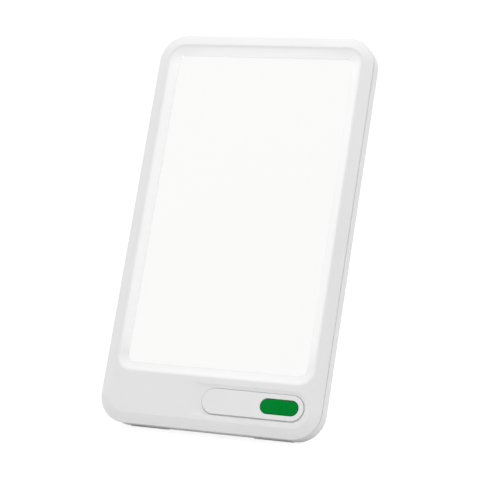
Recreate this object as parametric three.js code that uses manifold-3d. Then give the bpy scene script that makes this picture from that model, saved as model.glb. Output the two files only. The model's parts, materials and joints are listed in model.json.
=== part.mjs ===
// Light therapy lamp, tablet shaped, leaning back on its bottom edge and a fold-out leg.
// Millimetres, +Z up, the glowing window faces -Y.
// The head is drawn flat: X to the right, Y up the panel, Z out of the window, and
// Z = 0 is the parting plane between the front frame and the rear cover.
import * as THREE from 'three';
import { mergeVertices } from 'three/addons/utils/BufferGeometryUtils.js';
import Module from 'manifold-3d';

const wasm = await Module();
wasm.setup();

// Fits and working values
const seatGap = 0.3; // clearance where one piece rests on or in another
const overrun = 2; // how far a cutting tool runs past what it cuts

// Facets: steps along each kind of curve
const cornerSteps = 7;
const roundSteps = 24;
const smallRoundSteps = 14;
const rollSteps = 5;
const coveSteps = 6;
const landingSteps = 4;
const coverRoundSteps = 5;
const smallCornerSteps = 3;
const leadSteps = 12;
const leadRoundSteps = 4;

// Head
const panelWidth = 152;
const panelHeight = 265.3;
const cornerRadius = 18.5;
const leanAngle = THREE.MathUtils.degToRad(23.6); // of the panel, back from upright

// Front frame: rolled rim, cove round the window, chin below it
const rimEdgeHeight = 0.9;
const rimEdgeChamfer = 0.4;
const rimSlopePower = 1.25; // 1 is an even slope, more turns level towards the crest
const coveTurnShare = 0.45; // of the cove's width, where it turns down from the crest
const rimRollWidth = 6.7;
const crestHeight = 2.8;
const coveWidth = 7.3;
const windowLipDrop = 0.25;
const windowLipThickness = 0.65;
const leastCornerRadius = 2; // of any edge inside the rim
const chinHeight = 26.5; // the window starts this much further in at the bottom
const frameWall = 1.8;
const tongueInset = 2.6;
const tongueWidth = 1.3;
const tongueDepth = 3;
const baffleInset = 8.6;
const baffleWidth = 1;
const baffleDepth = 3;

// Light stack behind the window
const sealWidth = 1;
const diffuserThickness = 1.5;
const filmThickness = 0.25;
const guideThickness = 2;
const guideInset = 3.4; // in from the edge of the diffuser
const reflectorThickness = 0.25;
const trayThickness = 0.6;
const stripThickness = 1;
const stripEndInset = 4;
const ledHeight = 2;
const ledLength = 3;
const ledDepth = 0.8;
const ledCount = 18;

// Rear cover
const partingGap = 1.4;
const coverInset = 0.1;
const coverBottomInset = 0.45;
const coverWall = 1.8;
const coverSideRadius = 5;
const coverBottomRadius = 2.5;
const trayRibWidth = 1.4;
const trayRibShare = 0.32; // place of the long ribs, as a share of the width
const crossRibShares = [0.7, 0.86]; // places of the cross ribs, as shares of the height

// Fold-out leg, its pocket and its hinge
const pocketWall = 1.2;
const pocketClearance = 0.5;
const hingeHeight = 160; // up the panel
const hingeRadius = 1.7;
const hingePinRadius = 1;
const hingePinLength = 11;
const hingePinEngagement = 5.5;
const hingeBossMargin = 2.2;
const legSlant = THREE.MathUtils.degToRad(12); // of the open leg, from upright
const legTopWidth = 48;
const legFootWidth = 56;
const legThickness = 2.8;
const legHeel = 2.5;
const legCornerRadius = 7;
const legRibWidth = 1.6;
const legRibRows = 4;
const legRecessDepth = 1.3;
const legRecessRadius = 3;
const fingerNotchWidth = 19;
const fingerNotchHeight = 12;
const legPadHeight = 5;
const legPadSole = 1.4;
const legPadMargin = 1.2;
const legPadThickness = 3.5;
const legTongueThickness = 1.3;

// Foot pads under the bottom edge
const footProud = 0.3;
const footPadLength = 28;
const footPadWidth = 3.6;
const footPadThickness = 1.3;
const footPadForward = 1.05;
const footPadMargin = 0.5; // outside the pad, before the corner begins
const footSeatMargin = 2;
const footSeatDepth = 5;

// Control plate and button in the chin
const plateLength = 69.3;
const plateHeight = 16.6;
const plateRightMargin = 11.2;
const plateBottomMargin = 10.95;
const plateThickness = 1.65;
const plateProud = 0.15;
const plateEdgeRound = 0.25;
const plateSeatWidth = 1.5;
const plateSeatThickness = 1.3;
const plateRimWidth = 2;
const plateGroove = 0.5;
const landingDepth = 0.9;
const landingTopMargin = 2.6;
const landingBottomMargin = 0.9;
const landingRightMargin = 2;
const landingLeadIn = 10; // at the left end, where the landing's floor rises to the chin
const landingBlunt = 3; // how far the left end is rounded
const buttonLength = 27.1;
const buttonHeight = 9.95;
const buttonMargin = 3.25;
const buttonProud = 0.2;
const buttonEdgeRound = 0.3;
const buttonFlange = 1;
const buttonFlangeThickness = 0.7;
const buttonTravel = 0.6;

// Control board and what stands on it
const boardLevel = 4; // below the parting plane
const boardThickness = 1.2;
const boardSideMargin = 12;
const boardLowMargin = 8;
const boardBaffleClearance = 4.1; // below the light baffle
const boardCorner = 4;
const switchWidth = 6;
const switchHeight = 2.8;
const plungerRadius = 1.75;
const inductorWidth = 10;
const inductorHeight = 3.4;
const inductorRadius = 2.5;
const chipWidth = 5;
const chipHeight = 1;
const capacitorRadius = 2.5;
const capacitorHeight = 2.7;
const inductorShare = -0.35; // places along the board, as shares of its half length
const chipShare = -0.14;
const capacitorShares = [0.08, 0.24];
const jackShare = -0.7;
const boardScrewShares = [-0.93, 0.93];
const jackWidth = 9;
const jackTopLevel = 1.2;
const jackShoulder = 0.3; // below the inside of the rear wall
const jackNoseRadius = 3.9;
const jackNoseRecess = 0.2;
const jackBoreRadius = 2.85;
const jackFloorThickness = 1.5;
const jackPinRadius = 1.05;
const jackPinRecess = 1.2;
const leadRadius = 0.6;
const leadBoardInset = 6;

// Screws
const coverScrewInset = 6.4;
const coverScrewShares = [0.075, 0.52, 0.925]; // of the height
const screwHeadRadius = 1.8;
const screwHeadHeight = 1.2;
const screwShankRadius = 1;
const screwHeadRecess = 0.1;
const screwBossWall = 0.8;
const frameBossDepth = 6;
const boardScrewMargin = 4.5;
const boardScrewHeadHeight = 1;
const boardScrewLength = 5;

// Insets from the panel's edge, from the frame's light baffle to the tray round the stack
const halfWidth = panelWidth / 2;
const openingInset = rimRollWidth + coveWidth;
const tongueInside = tongueInset + tongueWidth;
const baffleInside = baffleInset + baffleWidth;
const sealInset = baffleInside + seatGap;
const sealRadius = frameRadius(baffleInside) - seatGap;
const diffuserInset = sealInset + sealWidth + seatGap;
const guideEdgeInset = diffuserInset + guideInset;
const stripInside = halfWidth - guideEdgeInset + seatGap + ledDepth;
const stripOutside = stripInside + stripThickness;
const trayWallInside = stripOutside + seatGap;
const trayOutside = trayWallInside + trayThickness;
const trayLow = diffuserInset + chinHeight;
const trayHigh = panelHeight - diffuserInset;

// Levels behind and before the parting plane, worked out from the stack
const lipTop = -windowLipDrop;
const lipUnderside = lipTop - windowLipThickness;
const frameUnderside = crestHeight - frameWall;
const diffuserTop = lipUnderside - seatGap;
const filmTop = diffuserTop - diffuserThickness - seatGap;
const guideTop = filmTop - filmThickness - seatGap;
const reflectorTop = guideTop - guideThickness - seatGap;
const trayTop = reflectorTop - reflectorThickness - seatGap;
const trayUnderside = trayTop - trayThickness;
const pocketInside = trayUnderside - seatGap;
const pocketFloor = pocketInside - pocketWall;
const hingeLevel = pocketFloor - seatGap - hingeRadius;
const backLevel = hingeLevel - hingeRadius - seatGap;
const backInside = backLevel + coverWall;
const rimLevel = -partingGap;

// Places in the chin
const plateRight = halfWidth - plateRightMargin;
const plateLeft = plateRight - plateLength;
const plateMiddle = plateBottomMargin + plateHeight / 2;
const plateTop = crestHeight + plateProud;
const plateUnderside = plateTop - plateThickness;
const buttonRight = plateRight - buttonMargin;
const buttonCentre = buttonRight - buttonLength / 2;
const buttonTop = plateTop + buttonProud;
const buttonUnderside = plateUnderside - seatGap - buttonFlangeThickness;
const boardTop = -boardLevel;
const boardUnderside = boardTop - boardThickness;
const boardHalf = halfWidth - boardSideMargin;
const boardHigh = baffleInset + chinHeight - boardBaffleClearance;
const switchBase = boardTop + seatGap;
const switchTop = switchBase + switchHeight;
const jackCentre = jackShare * boardHalf;

// Where the rear bottom edge comes down to the floor, with the head leaning back
const heelUp = coverBottomInset + coverBottomRadius;
const heelBack = -backLevel - coverBottomRadius;
const heelY = heelUp * Math.sin(leanAngle) + heelBack * Math.cos(leanAngle);
const heelZ = heelUp * Math.cos(leanAngle) - heelBack * Math.sin(leanAngle) - coverBottomRadius;
const floorZ = heelZ - footProud;

// Leg, seen from its hinge: how far down the floor is, and how far the leg opens
const hingeZ = hingeHeight * Math.cos(leanAngle) + hingeLevel * Math.sin(leanAngle);
const legDrop = hingeZ - floorZ;
const legReach = legDrop / Math.cos(legSlant);
const legOpenAngle = legSlant + leanAngle;
const legOutside = backLevel + seatGap - hingeLevel;
const legInside = legOutside + legThickness;
const headTurn = Math.PI / 2 - leanAngle;

// How far above the hinge the pocket's slanted stop wall reaches at the back of the cover
const stopReach = (legHeel + seatGap - (legOutside - seatGap - overrun) * Math.sin(legOpenAngle))
  / Math.cos(legOpenAngle);

// Foot pads, clear of the rounded corners
const footPadMiddle = halfWidth - cornerRadius - footPadMargin - footPadLength / 2;

const white = { color: 0xf2f2f1, roughness: 0.42, metalness: 0 };
const finishes = {
  housing: white,
  diffuser: { color: 0xfdfdfb, roughness: 0.5, metalness: 0, emissive: 0xffffff },
  clear: { color: 0xeef3f5, roughness: 0.08, metalness: 0 },
  sheet: { color: 0xfafafa, roughness: 0.6, metalness: 0 },
  foam: { color: 0x2b2b2c, roughness: 0.95, metalness: 0 },
  tray: { color: 0xc9cbcc, roughness: 0.35, metalness: 1 },
  strip: { color: 0xf4f4ef, roughness: 0.5, metalness: 0 },
  button: { color: 0x067e2f, roughness: 0.4, metalness: 0 },
  board: { color: 0x1d6b3c, roughness: 0.5, metalness: 0 },
  dark: { color: 0x1c1d1f, roughness: 0.5, metalness: 0 },
  rubber: { color: 0xb9bbbc, roughness: 0.85, metalness: 0 },
  steel: { color: 0xb8babd, roughness: 0.3, metalness: 1 },
  brass: { color: 0xc9a24b, roughness: 0.3, metalness: 1 },
  lead: { color: 0xd9d9d9, roughness: 0.5, metalness: 0 },
};

function pieceOf(name, geometry, finish) {
  geometry.computeVertexNormals();
  const piece = new THREE.Mesh(geometry, new THREE.MeshStandardMaterial(finishes[finish]));
  piece.name = name;
  return piece;
}

// A closed geometry as a solid that can be cut and joined, and back
function solidOf(geometry) {
  const bare = geometry.clone();
  bare.deleteAttribute('normal');
  bare.deleteAttribute('uv');
  const merged = mergeVertices(bare);
  return new wasm.Manifold(new wasm.Mesh({
    numProp: 3,
    vertProperties: merged.attributes.position.array,
    triVerts: new Uint32Array(merged.index.array),
  }));
}

function geometryOf(solid) {
  const mesh = solid.getMesh();
  const geometry = new THREE.BufferGeometry();
  geometry.setAttribute('position', new THREE.BufferAttribute(mesh.vertProperties, 3));
  geometry.setIndex(new THREE.BufferAttribute(mesh.triVerts, 1));
  return geometry;
}

function cutFrom(geometry, cuts) {
  let solid = solidOf(geometry);
  for (const cut of cuts) {
    solid = solid.subtract(solidOf(cut));
  }
  return geometryOf(solid);
}

function joinTo(geometry, additions) {
  let solid = solidOf(geometry);
  for (const addition of additions) {
    solid = solid.add(solidOf(addition));
  }
  return geometryOf(solid);
}

function keepWithin(geometry, limit) {
  return geometryOf(solidOf(geometry).intersect(solidOf(limit)));
}

// Points of an arc about a centre, from one angle to another
function arcPoints(x, y, radius, from, to, steps, z) {
  const points = [];
  for (let i = 0; i <= steps; i++) {
    const angle = from + (to - from) * i / steps;
    points.push(new THREE.Vector3(x + radius * Math.cos(angle), y + radius * Math.sin(angle), z));
  }
  return points;
}

// A level ring inside the panel's outline, by its insets from the side and top edges
// and from the bottom edge
function panelRing(inset, bottomInset, radius, z) {
  const x = halfWidth - inset - radius;
  const low = bottomInset + radius;
  const high = panelHeight - inset - radius;
  const quarter = Math.PI / 2;
  return [
    ...arcPoints(x, low, radius, -quarter, 0, cornerSteps, z),
    ...arcPoints(x, high, radius, 0, quarter, cornerSteps, z),
    ...arcPoints(-x, high, radius, quarter, 2 * quarter, cornerSteps, z),
    ...arcPoints(-x, low, radius, 2 * quarter, 3 * quarter, cornerSteps, z),
  ];
}

// A level ring with round ends, from its left end to its right end
function pillRing(left, right, middle, height, z) {
  const radius = height / 2;
  const quarter = Math.PI / 2;
  return [
    ...arcPoints(right - radius, middle, radius, -quarter, quarter, 2 * cornerSteps, z),
    ...arcPoints(left + radius, middle, radius, quarter, 3 * quarter, 2 * cornerSteps, z),
  ];
}

// Skins rings of equal count into one closed body. A looped loft joins the last ring to
// the first, as a frame does; any other has its two ends closed.
function loft(rings, looped) {
  const count = rings[0].length;
  const positions = rings.flat().flatMap((point) => [point.x, point.y, point.z]);
  const faces = [];
  const spans = looped ? rings.length : rings.length - 1;
  for (let r = 0; r < spans; r++) {
    const here = r * count;
    const next = ((r + 1) % rings.length) * count;
    for (let i = 0; i < count; i++) {
      const j = (i + 1) % count;
      faces.push(here + i, here + j, next + j, here + i, next + j, next + i);
    }
  }
  if (!looped) {
    const last = (rings.length - 1) * count;
    for (let i = 1; i < count - 1; i++) {
      faces.push(0, i + 1, i, last, last + i, last + i + 1);
    }
  }
  const geometry = new THREE.BufferGeometry();
  geometry.setAttribute('position', new THREE.Float32BufferAttribute(positions, 3));
  geometry.setIndex(faces);
  return facingOut(geometry);
}

// Turns every face over if the body's signed volume says that they point inwards
function facingOut(geometry) {
  const at = geometry.attributes.position;
  const index = geometry.index.array;
  const [a, b, c] = [new THREE.Vector3(), new THREE.Vector3(), new THREE.Vector3()];
  let volume = 0;
  for (let i = 0; i < index.length; i += 3) {
    a.fromBufferAttribute(at, index[i]);
    b.fromBufferAttribute(at, index[i + 1]);
    c.fromBufferAttribute(at, index[i + 2]);
    volume += a.dot(b.cross(c));
  }
  if (volume < 0) {
    for (let i = 0; i < index.length; i += 3) {
      [index[i + 1], index[i + 2]] = [index[i + 2], index[i + 1]];
    }
  }
  return geometry;
}

function block(xLow, xHigh, yLow, yHigh, zLow, zHigh) {
  const geometry = new THREE.BoxGeometry(xHigh - xLow, yHigh - yLow, zHigh - zLow);
  return geometry.translate((xLow + xHigh) / 2, (yLow + yHigh) / 2, (zLow + zHigh) / 2);
}

// An outline drawn in X and Y, thickened from one level to another
function slab(shape, zLow, zHigh, steps = cornerSteps) {
  const options = { depth: zHigh - zLow, bevelEnabled: false, curveSegments: steps };
  return new THREE.ExtrudeGeometry(shape, options).translate(0, 0, zLow);
}

function roundedShape(xLow, xHigh, yLow, yHigh, radius) {
  const shape = new THREE.Shape();
  shape.moveTo(xLow + radius, yLow);
  shape.lineTo(xHigh - radius, yLow);
  shape.absarc(xHigh - radius, yLow + radius, radius, -Math.PI / 2, 0);
  shape.lineTo(xHigh, yHigh - radius);
  shape.absarc(xHigh - radius, yHigh - radius, radius, 0, Math.PI / 2);
  shape.lineTo(xLow + radius, yHigh);
  shape.absarc(xLow + radius, yHigh - radius, radius, Math.PI / 2, Math.PI);
  shape.lineTo(xLow, yLow + radius);
  shape.absarc(xLow + radius, yLow + radius, radius, Math.PI, 3 * Math.PI / 2);
  return shape;
}

function pillSlab(left, right, middle, height, zLow, zHigh) {
  return loft([
    pillRing(left, right, middle, height, zLow),
    pillRing(left, right, middle, height, zHigh),
  ], false);
}

function peg(x, y, radius, zLow, zHigh, steps = smallRoundSteps) {
  const geometry = new THREE.CylinderGeometry(radius, radius, zHigh - zLow, steps);
  return geometry.rotateX(Math.PI / 2).translate(x, y, (zLow + zHigh) / 2);
}

// A round bar along X, about a given line
function crossBar(xLow, xHigh, y, z, radius, steps = roundSteps) {
  const geometry = new THREE.CylinderGeometry(radius, radius, xHigh - xLow, steps);
  return geometry.rotateZ(Math.PI / 2).translate((xLow + xHigh) / 2, y, z);
}

// The places of the cover screws, in pairs up the two sides
function coverScrewPlaces() {
  const x = halfWidth - coverScrewInset;
  return coverScrewShares.flatMap((share) => [[-x, share * panelHeight], [x, share * panelHeight]]);
}

function boardScrewPlaces() {
  const y = boardLowMargin + boardScrewMargin;
  return boardScrewShares.map((share) => [share * boardHalf, y]);
}

// The rim slopes up to the crest, and turns level only near it
function rimLevelAt(inset) {
  return crestHeight - (crestHeight - rimEdgeHeight) * (1 - inset / rimRollWidth) ** rimSlopePower;
}

// The cove turns down from the crest and then keeps one slope to the lip
function coveLevelAt(share) {
  const turned = coveTurnShare;
  const drop = share < turned ? share ** 2 / (2 * turned) : share - turned / 2;
  return crestHeight - (crestHeight - lipTop) * drop / (1 - turned / 2);
}

// Front frame: the section runs from the outer edge over the rim and down the cove to the
// window, then back underneath past the light baffle and the tongue that enters the cover.
// Below the window the crest widens into the chin.
function frameSection() {
  const points = [];
  points.push({ inset: 0, bottom: 0, z: rimEdgeHeight - rimEdgeChamfer });
  for (let i = 0; i <= rollSteps; i++) {
    const share = Math.sin(Math.PI / 2 * i / rollSteps);
    const inset = rimEdgeChamfer + (rimRollWidth - rimEdgeChamfer) * share;
    points.push({ inset, bottom: inset, z: rimLevelAt(inset) });
  }
  for (let i = 0; i <= coveSteps; i++) {
    const share = i / coveSteps;
    const inset = rimRollWidth + coveWidth * share;
    points.push({ inset, bottom: inset + chinHeight, z: coveLevelAt(share) });
  }
  points.push({ inset: openingInset, bottom: openingInset + chinHeight, z: lipUnderside });
  points.push({ inset: baffleInside, bottom: baffleInside + chinHeight, z: lipUnderside });
  points.push({ inset: baffleInside, bottom: baffleInside + chinHeight, z: -baffleDepth });
  points.push({ inset: baffleInset, bottom: baffleInset + chinHeight, z: -baffleDepth });
  points.push({ inset: baffleInset, bottom: baffleInset + chinHeight, z: frameUnderside });
  points.push({ inset: tongueInside, bottom: tongueInside, z: frameUnderside });
  points.push({ inset: tongueInside, bottom: tongueInside, z: -tongueDepth });
  points.push({ inset: tongueInset, bottom: tongueInset, z: -tongueDepth });
  points.push({ inset: tongueInset, bottom: tongueInset, z: 0 });
  points.push({ inset: 0, bottom: 0, z: 0 });
  return points;
}

// Every edge of the frame runs parallel to its outer edge, so the corner radius shrinks inwards
function frameRadius(inset) {
  return Math.max(cornerRadius - inset, leastCornerRadius);
}

// The landing's outline at a share of its depth: round at the right, blunt at the left
function landingRing(share, z) {
  const out = 1 - share;
  const low = plateMiddle - plateHeight / 2 - plateGroove - landingBottomMargin * out;
  const high = plateMiddle + plateHeight / 2 + plateGroove + landingTopMargin * out;
  const half = (high - low) / 2;
  const centre = plateLeft - plateGroove - landingLeadIn * out + landingBlunt;
  const right = plateRight + plateGroove + landingRightMargin * out;
  const ring = pillRing(centre - half, right, (low + high) / 2, high - low, z);
  for (const point of ring) {
    if (point.x < centre) point.x = centre + (point.x - centre) * landingBlunt / half;
  }
  return ring;
}

function landingCut() {
  const rings = [];
  for (let i = landingSteps; i >= 0; i--) {
    const share = i / landingSteps;
    const drop = landingDepth * (1 - Math.cos(Math.PI * share)) / 2;
    rings.push(landingRing(share, crestHeight - drop));
  }
  rings.push(landingRing(0, crestHeight + overrun));
  return loft(rings, false);
}

function makeFrontFrame() {
  const rings = frameSection().map(({ inset, bottom, z }) => (
    panelRing(inset, bottom, frameRadius(inset), z)));
  const seatLevel = plateUnderside - seatGap;
  const rimHeight = plateHeight + 2 * plateRimWidth;
  const additions = coverScrewPlaces().map(([x, y]) => (
    peg(x, y, screwShankRadius + seatGap + screwBossWall, -frameBossDepth, frameUnderside + seatGap)));
  additions.push(pillSlab(plateLeft - plateRimWidth, plateRight + plateRimWidth, plateMiddle,
    rimHeight, seatLevel - plateSeatThickness, frameUnderside + seatGap));
  const cuts = coverScrewPlaces().map(([x, y]) => (
    peg(x, y, screwShankRadius + seatGap, -frameBossDepth - overrun, frameUnderside)));
  cuts.push(landingCut());
  cuts.push(pillSlab(plateLeft - plateGroove, plateRight + plateGroove, plateMiddle,
    plateHeight + 2 * plateGroove, seatLevel, crestHeight + overrun));
  cuts.push(pillSlab(plateLeft + plateSeatWidth, plateRight - plateSeatWidth, plateMiddle,
    plateHeight - 2 * plateSeatWidth, seatLevel - plateSeatThickness - overrun, crestHeight));
  const body = joinTo(loft(rings, true), additions);
  return pieceOf('front_frame', cutFrom(body, cuts), 'housing');
}

// A flat sheet behind the window, by its insets from the panel's edges
function windowSheet(inset, radius, zHigh, thickness) {
  return loft([
    panelRing(inset, inset + chinHeight, radius, zHigh - thickness),
    panelRing(inset, inset + chinHeight, radius, zHigh),
  ], false);
}

function makeLightSeal() {
  const outside = sealRadius;
  const rings = [
    panelRing(sealInset, sealInset + chinHeight, outside, diffuserTop),
    panelRing(sealInset + sealWidth, sealInset + sealWidth + chinHeight, outside - sealWidth, diffuserTop),
    panelRing(sealInset + sealWidth, sealInset + sealWidth + chinHeight, outside - sealWidth,
      diffuserTop - diffuserThickness),
    panelRing(sealInset, sealInset + chinHeight, outside, diffuserTop - diffuserThickness),
  ];
  return pieceOf('light_seal', loft(rings, true), 'foam');
}

function makeLightStack() {
  const radius = sealRadius - sealWidth - seatGap;
  const guideRadius = seatGap;
  return [
    pieceOf('diffuser_panel', windowSheet(diffuserInset, radius, diffuserTop, diffuserThickness), 'diffuser'),
    pieceOf('prism_film', windowSheet(guideEdgeInset, guideRadius, filmTop, filmThickness), 'clear'),
    pieceOf('light_guide', windowSheet(guideEdgeInset, guideRadius, guideTop, guideThickness), 'clear'),
    pieceOf('reflector_sheet', windowSheet(guideEdgeInset, guideRadius, reflectorTop, reflectorThickness),
      'sheet'),
  ];
}

// A strip stands on edge beside the light guide, with its row of light sources facing it
function makeStrip(name, side) {
  const low = trayLow + stripEndInset;
  const high = trayHigh - stripEndInset;
  const middle = guideTop - guideThickness / 2;
  const pitch = (high - low) / ledCount;
  const board = block(side * stripInside, side * stripOutside, low, high,
    trayTop + seatGap, guideTop);
  const sources = [];
  for (let i = 0; i < ledCount; i++) {
    const y = low + pitch * (i + 1 / 2);
    const root = side * (stripInside + stripThickness / 2);
    sources.push(block(root, side * (stripInside - ledDepth), y - ledLength / 2, y + ledLength / 2,
      middle - ledHeight / 2, middle + ledHeight / 2));
  }
  return pieceOf(name, joinTo(facingOut(board), sources.map(facingOut)), 'strip');
}

// A metal channel: a flat base with an upstand along each side, outside the strips
function makeTray() {
  const wallTop = guideTop;
  const profile = new THREE.Shape();
  profile.moveTo(-trayOutside, trayUnderside);
  profile.lineTo(trayOutside, trayUnderside);
  profile.lineTo(trayOutside, wallTop);
  profile.lineTo(trayWallInside, wallTop);
  profile.lineTo(trayWallInside, trayTop);
  profile.lineTo(-trayWallInside, trayTop);
  profile.lineTo(-trayWallInside, wallTop);
  profile.lineTo(-trayOutside, wallTop);
  const channel = slab(profile, -trayHigh, -trayLow).rotateX(Math.PI / 2);
  return pieceOf('light_tray', channel, 'tray');
}

// The inset of the cover's rounded edge at a level
function roundInset(radius, z, back) {
  const past = back + radius - z;
  return past <= 0 ? 0 : radius - Math.sqrt(Math.max(0, radius * radius - past * past));
}

function coverBody(wall, sideRadius, bottomRadius, back, top) {
  const rings = [];
  const levels = [top];
  for (let i = 0; i <= coverRoundSteps; i++) {
    levels.push(back + sideRadius * (1 - Math.sin(Math.PI / 2 * i / coverRoundSteps)));
  }
  for (const z of levels) {
    const side = coverInset + wall + roundInset(sideRadius, z, back);
    const bottom = coverBottomInset + wall + roundInset(bottomRadius, z, back);
    rings.push(panelRing(side, bottom, cornerRadius - side, z));
  }
  return loft(rings, false);
}

// The leg's outline in the pocket, from its rounded foot up to a given height over the hinge
function legShape(extra, foot, top) {
  const low = -foot - extra;
  const footHalf = legFootWidth / 2 + extra;
  const topHalf = legTopWidth / 2 + extra;
  const radius = legCornerRadius;
  const shape = new THREE.Shape();
  shape.moveTo(-topHalf, top);
  shape.lineTo(-footHalf, low + radius);
  shape.absarc(-footHalf + radius, low + radius, radius, Math.PI, 3 * Math.PI / 2);
  shape.lineTo(footHalf - radius, low);
  shape.absarc(footHalf - radius, low + radius, radius, -Math.PI / 2, 0);
  shape.lineTo(topHalf, top);
  return shape;
}

function pocketCut() {
  const cavity = slab(legShape(pocketClearance, legReach, stopReach), backLevel - overrun - hingeLevel,
    pocketFloor - hingeLevel);
  const reach = legReach;
  const beyond = block(-reach, reach, legHeel + seatGap, reach, -reach, reach);
  return cutFrom(cavity, [beyond.rotateX(legOpenAngle)]).translate(0, hingeHeight, hingeLevel);
}

function pocketBlock() {
  const outline = legShape(pocketClearance + pocketWall, legReach, stopReach + pocketWall);
  return slab(outline, backInside - hingeLevel - seatGap, pocketInside - hingeLevel)
    .translate(0, hingeHeight, hingeLevel);
}

function hingeSide() {
  return legTopWidth / 2 + pocketClearance;
}

function makeRearCover() {
  const outside = coverBody(0, coverSideRadius, coverBottomRadius, backLevel, rimLevel);
  const wall = coverWall;
  const inside = coverBody(wall, coverSideRadius - wall, coverBottomRadius - wall,
    backInside, rimLevel + overrun);
  const shell = cutFrom(outside, [inside]);
  const root = backInside - seatGap;
  const additions = [pocketBlock()];
  for (const [x, y] of coverScrewPlaces()) {
    const radius = screwHeadRadius + seatGap + screwBossWall;
    additions.push(peg(x, y, radius, root, -frameBossDepth - seatGap));
  }
  for (const [x, y] of boardScrewPlaces()) {
    const radius = screwShankRadius + seatGap + screwBossWall;
    additions.push(peg(x, y, radius, root, boardUnderside - seatGap));
  }
  const ribLow = trayLow + stripEndInset;
  const ribHigh = trayHigh - stripEndInset;
  for (const side of [-1, 1]) {
    const x = side * trayRibShare * panelWidth;
    additions.push(block(x - trayRibWidth / 2, x + trayRibWidth / 2, ribLow, ribHigh, root, pocketInside));
    const boss = hingeSide() + hingePinLength - hingePinEngagement;
    additions.push(facingOut(block(side * (hingeSide() - seatGap), side * (boss + hingeBossMargin),
      hingeHeight - hingeRadius - hingeBossMargin, hingeHeight + hingeRadius + hingeBossMargin,
      root, pocketInside)));
    const padMiddle = side * footPadMiddle;
    const seatHalf = footPadLength / 2 + footSeatMargin;
    additions.push(block(padMiddle - seatHalf, padMiddle + seatHalf, coverBottomInset + wall - seatGap,
      coverBottomInset + wall + footSeatDepth, root, root + footSeatDepth));
  }
  for (const share of crossRibShares) {
    const y = share * panelHeight;
    const x = trayRibShare * panelWidth;
    additions.push(block(-x, x, y - trayRibWidth / 2, y + trayRibWidth / 2, root, pocketInside));
  }
  const cuts = [pocketCut()];
  for (const [x, y] of coverScrewPlaces()) {
    cuts.push(peg(x, y, screwHeadRadius + seatGap, backLevel - overrun,
      backLevel + screwHeadRecess + screwHeadHeight + seatGap));
    cuts.push(peg(x, y, screwShankRadius + seatGap, backLevel - overrun, -frameBossDepth + overrun));
  }
  for (const [x, y] of boardScrewPlaces()) {
    cuts.push(peg(x, y, screwShankRadius + seatGap, boardUnderside - boardScrewLength,
      boardUnderside + overrun));
  }
  cuts.push(peg(jackCentre, plateMiddle, jackNoseRadius + seatGap, backLevel - overrun,
    backInside + overrun));
  for (const side of [-1, 1]) {
    const inner = hingeSide() - overrun;
    const end = hingeSide() + hingePinLength - hingePinEngagement + seatGap;
    cuts.push(facingOut(crossBar(side * inner, side * end, hingeHeight, hingeLevel,
      hingePinRadius + seatGap)));
    cuts.push(footPadBody(side, seatGap, overrun).rotateX(-headTurn));
  }
  const body = keepWithin(joinTo(shell, additions), outside);
  return pieceOf('rear_cover', cutFrom(body, cuts), 'housing');
}

// A rubber foot, in upright axes: flat on the floor, with round ends
function footPadBody(side, gap, below) {
  const middle = side * footPadMiddle;
  const half = footPadLength / 2 + gap;
  const y = heelY - footPadForward + footPadWidth / 2;
  return pillSlab(middle - half, middle + half, y, footPadWidth + 2 * gap,
    floorZ - below, floorZ + footPadThickness + gap);
}

function makeFootPads() {
  return [
    pieceOf('foot_pad_left', footPadBody(-1, 0, 0), 'rubber'),
    pieceOf('foot_pad_right', footPadBody(1, 0, 0), 'rubber'),
  ];
}

// Everything below a height over the floor, seen from the open leg
function belowFloor(height) {
  const reach = legReach;
  return block(-reach, reach, -legDrop - reach, -legDrop + height, -reach, reach)
    .rotateX(-legSlant);
}

function legPadSides(side, margin) {
  const inner = fingerNotchWidth / 2 + legPadMargin + margin;
  const outer = legFootWidth / 2 - legCornerRadius - margin;
  return [side * inner, side * outer];
}

function tongueLevels(margin) {
  const middle = (legInside + legOutside) / 2;
  return [middle - legTongueThickness / 2 - margin, middle + legTongueThickness / 2 + margin];
}

// The leg: a moulded plate with a ribbed inner face, a hinge barrel with a square heel that
// meets the slanted stop wall, and a finger notch between its two feet
function makeLeg() {
  const plate = slab(legShape(0, legReach, legHeel), legOutside, legInside);
  const half = legTopWidth / 2;
  const barrel = crossBar(-half, half, 0, 0, hingeRadius);
  const notch = slab(roundedShape(-fingerNotchWidth / 2, fingerNotchWidth / 2,
    -legReach - fingerNotchHeight, -legReach + fingerNotchHeight, fingerNotchWidth / 2),
  legOutside - overrun, legInside + overrun);
  const cuts = [notch, ...legRecesses()];
  for (const side of [-1, 1]) {
    const inner = half - hingePinEngagement - seatGap;
    cuts.push(facingOut(crossBar(side * inner, side * (half + overrun), 0, 0, hingePinRadius + seatGap)));
  }
  // The heel's inner corner is bevelled, so that it lies along the pocket's floor when open
  cuts.push(block(-legReach, legReach, -legReach, legReach, hingeRadius, legReach).rotateX(-legOpenAngle));
  const body = cutFrom(joinTo(plate, [barrel]), cuts);
  const trimmed = cutFrom(body, [belowFloor(legPadHeight + seatGap)]);
  const tongues = [-1, 1].map((side) => {
    const [inner, outer] = legPadSides(side, legPadMargin + seatGap);
    const [low, high] = tongueLevels(0);
    const bar = facingOut(block(inner, outer, -legReach, -legReach + 2 * legPadHeight, low, high));
    return cutFrom(bar, [belowFloor(legPadSole + seatGap)]);
  });
  return pieceOf('kickstand', joinTo(trimmed, tongues), 'housing');
}

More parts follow.
